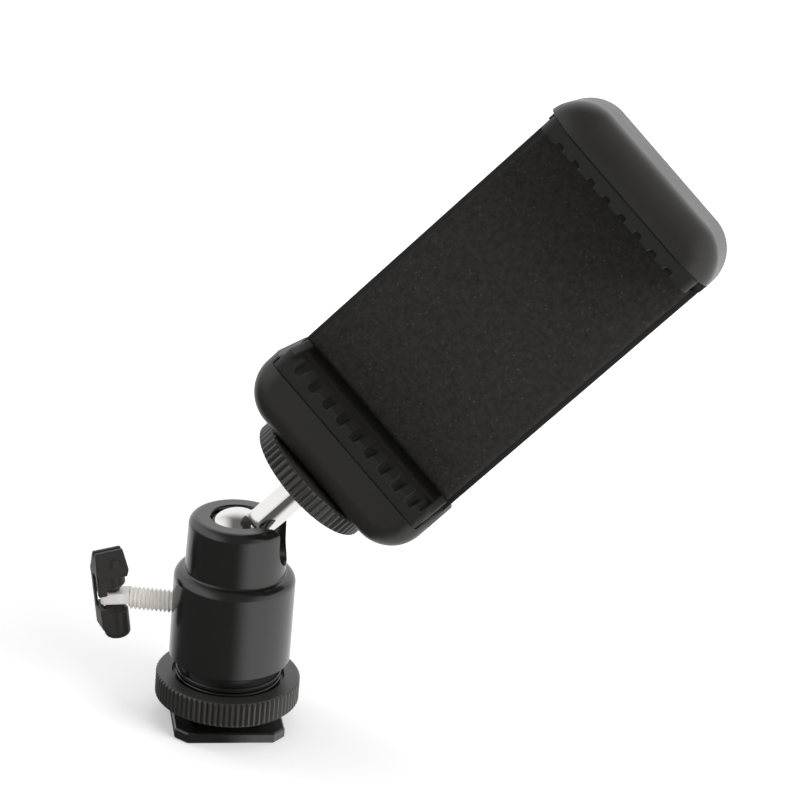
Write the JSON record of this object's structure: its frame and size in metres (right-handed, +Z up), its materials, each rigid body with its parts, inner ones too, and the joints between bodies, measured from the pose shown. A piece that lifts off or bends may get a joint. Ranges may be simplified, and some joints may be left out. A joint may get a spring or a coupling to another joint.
{
  "type": "phone clamp ball head",
  "caption": "Spring-loaded phone clamp with padded jaws on a mini ball head, with a knurled lock ring, a wing handle and a square accessory-shoe foot.",
  "frame": {"origin": "centre of the shoe foot's underside", "axes": "+Z up out of the foot, X and Y along the foot's edges; the shoe's slot runs along Y or X, the foot being square"},
  "size_m": [0.0967, 0.043, 0.1131],
  "materials": {
    "black_anodised": "gloss",
    "chrome": "polished",
    "steel": "satin",
    "black_plastic": "satin",
    "black_rubber": "matte",
    "black_foam": "matte",
    "brass": "satin",
    "spring_steel": "satin",
    "acetal": "matte"
  },
  "bodies": {
    "head": {"shoe_foot": "black_anodised", "head_housing": "black_anodised", "ball_seat": "acetal", "pressure_pin": "steel"},
    "lock_ring": {"lock_ring": "black_anodised"},
    "clamp_screw": {"clamp_screw": "steel"},
    "handle": {"wing_handle": "black_plastic", "handle_pin": "steel"},
    "ball_stud": {"ball_stud": "chrome"},
    "lock_disc": {"lock_disc": "black_anodised"},
    "clamp": {"clamp_body": "black_plastic", "thread_insert": "brass", "rear_cover": "black_plastic", "cover_screws": "steel", "foam_pad": "black_foam", "lower_jaw_pad": "black_rubber", "spring_left": "spring_steel", "spring_right": "spring_steel"},
    "jaw": {"upper_jaw": "black_plastic", "upper_jaw_pad": "black_rubber", "jaw_rear_cover": "black_plastic", "jaw_cover_screws": "steel"}
  },
  "joints": [
    {"name": "ring_turn", "type": "hinge", "parent": "head", "child": "lock_ring", "pos_m": [0, 0, 0.0067], "axis": [0, 0, 1], "continuous": true},
    {"name": "screw_turn", "type": "hinge", "parent": "head", "child": "clamp_screw", "pos_m": [-0.01468, 0.00307, 0.0208], "axis": [-0.9789, 0.2045, 0], "range_deg": [0, 360]},
    {"name": "handle_swing", "type": "hinge", "parent": "clamp_screw", "child": "handle", "pos_m": [-0.01958, 0.00409, 0.0208], "axis": [-0.1447, 0.0302, 0.989], "range_deg": [-102, 53]},
    {"name": "ball_tilt", "type": "hinge", "parent": "head", "child": "ball_stud", "pos_m": [0, 0, 0.0326], "axis": [0.2045, 0.9789, 0], "range_deg": [-56, 46]},
    {"name": "disc_turn", "type": "hinge", "parent": "ball_stud", "child": "lock_disc", "pos_m": [0.01066, -0.00223, 0.045], "axis": [0.6461, -0.135, 0.7513], "continuous": true},
    {"name": "clamp_turn", "type": "hinge", "parent": "ball_stud", "child": "clamp", "pos_m": [0.01066, -0.00223, 0.045], "axis": [0.6461, -0.135, 0.7513], "continuous": true},
    {"name": "jaw_pull", "type": "slide", "parent": "clamp", "child": "jaw", "axis": [0.6461, -0.135, 0.7513], "range_m": [0, 0.03], "stiffness_N_per_m": 250, "springref_m": -0.02, "deforming": ["spring_left", "spring_right"]}
  ]
}
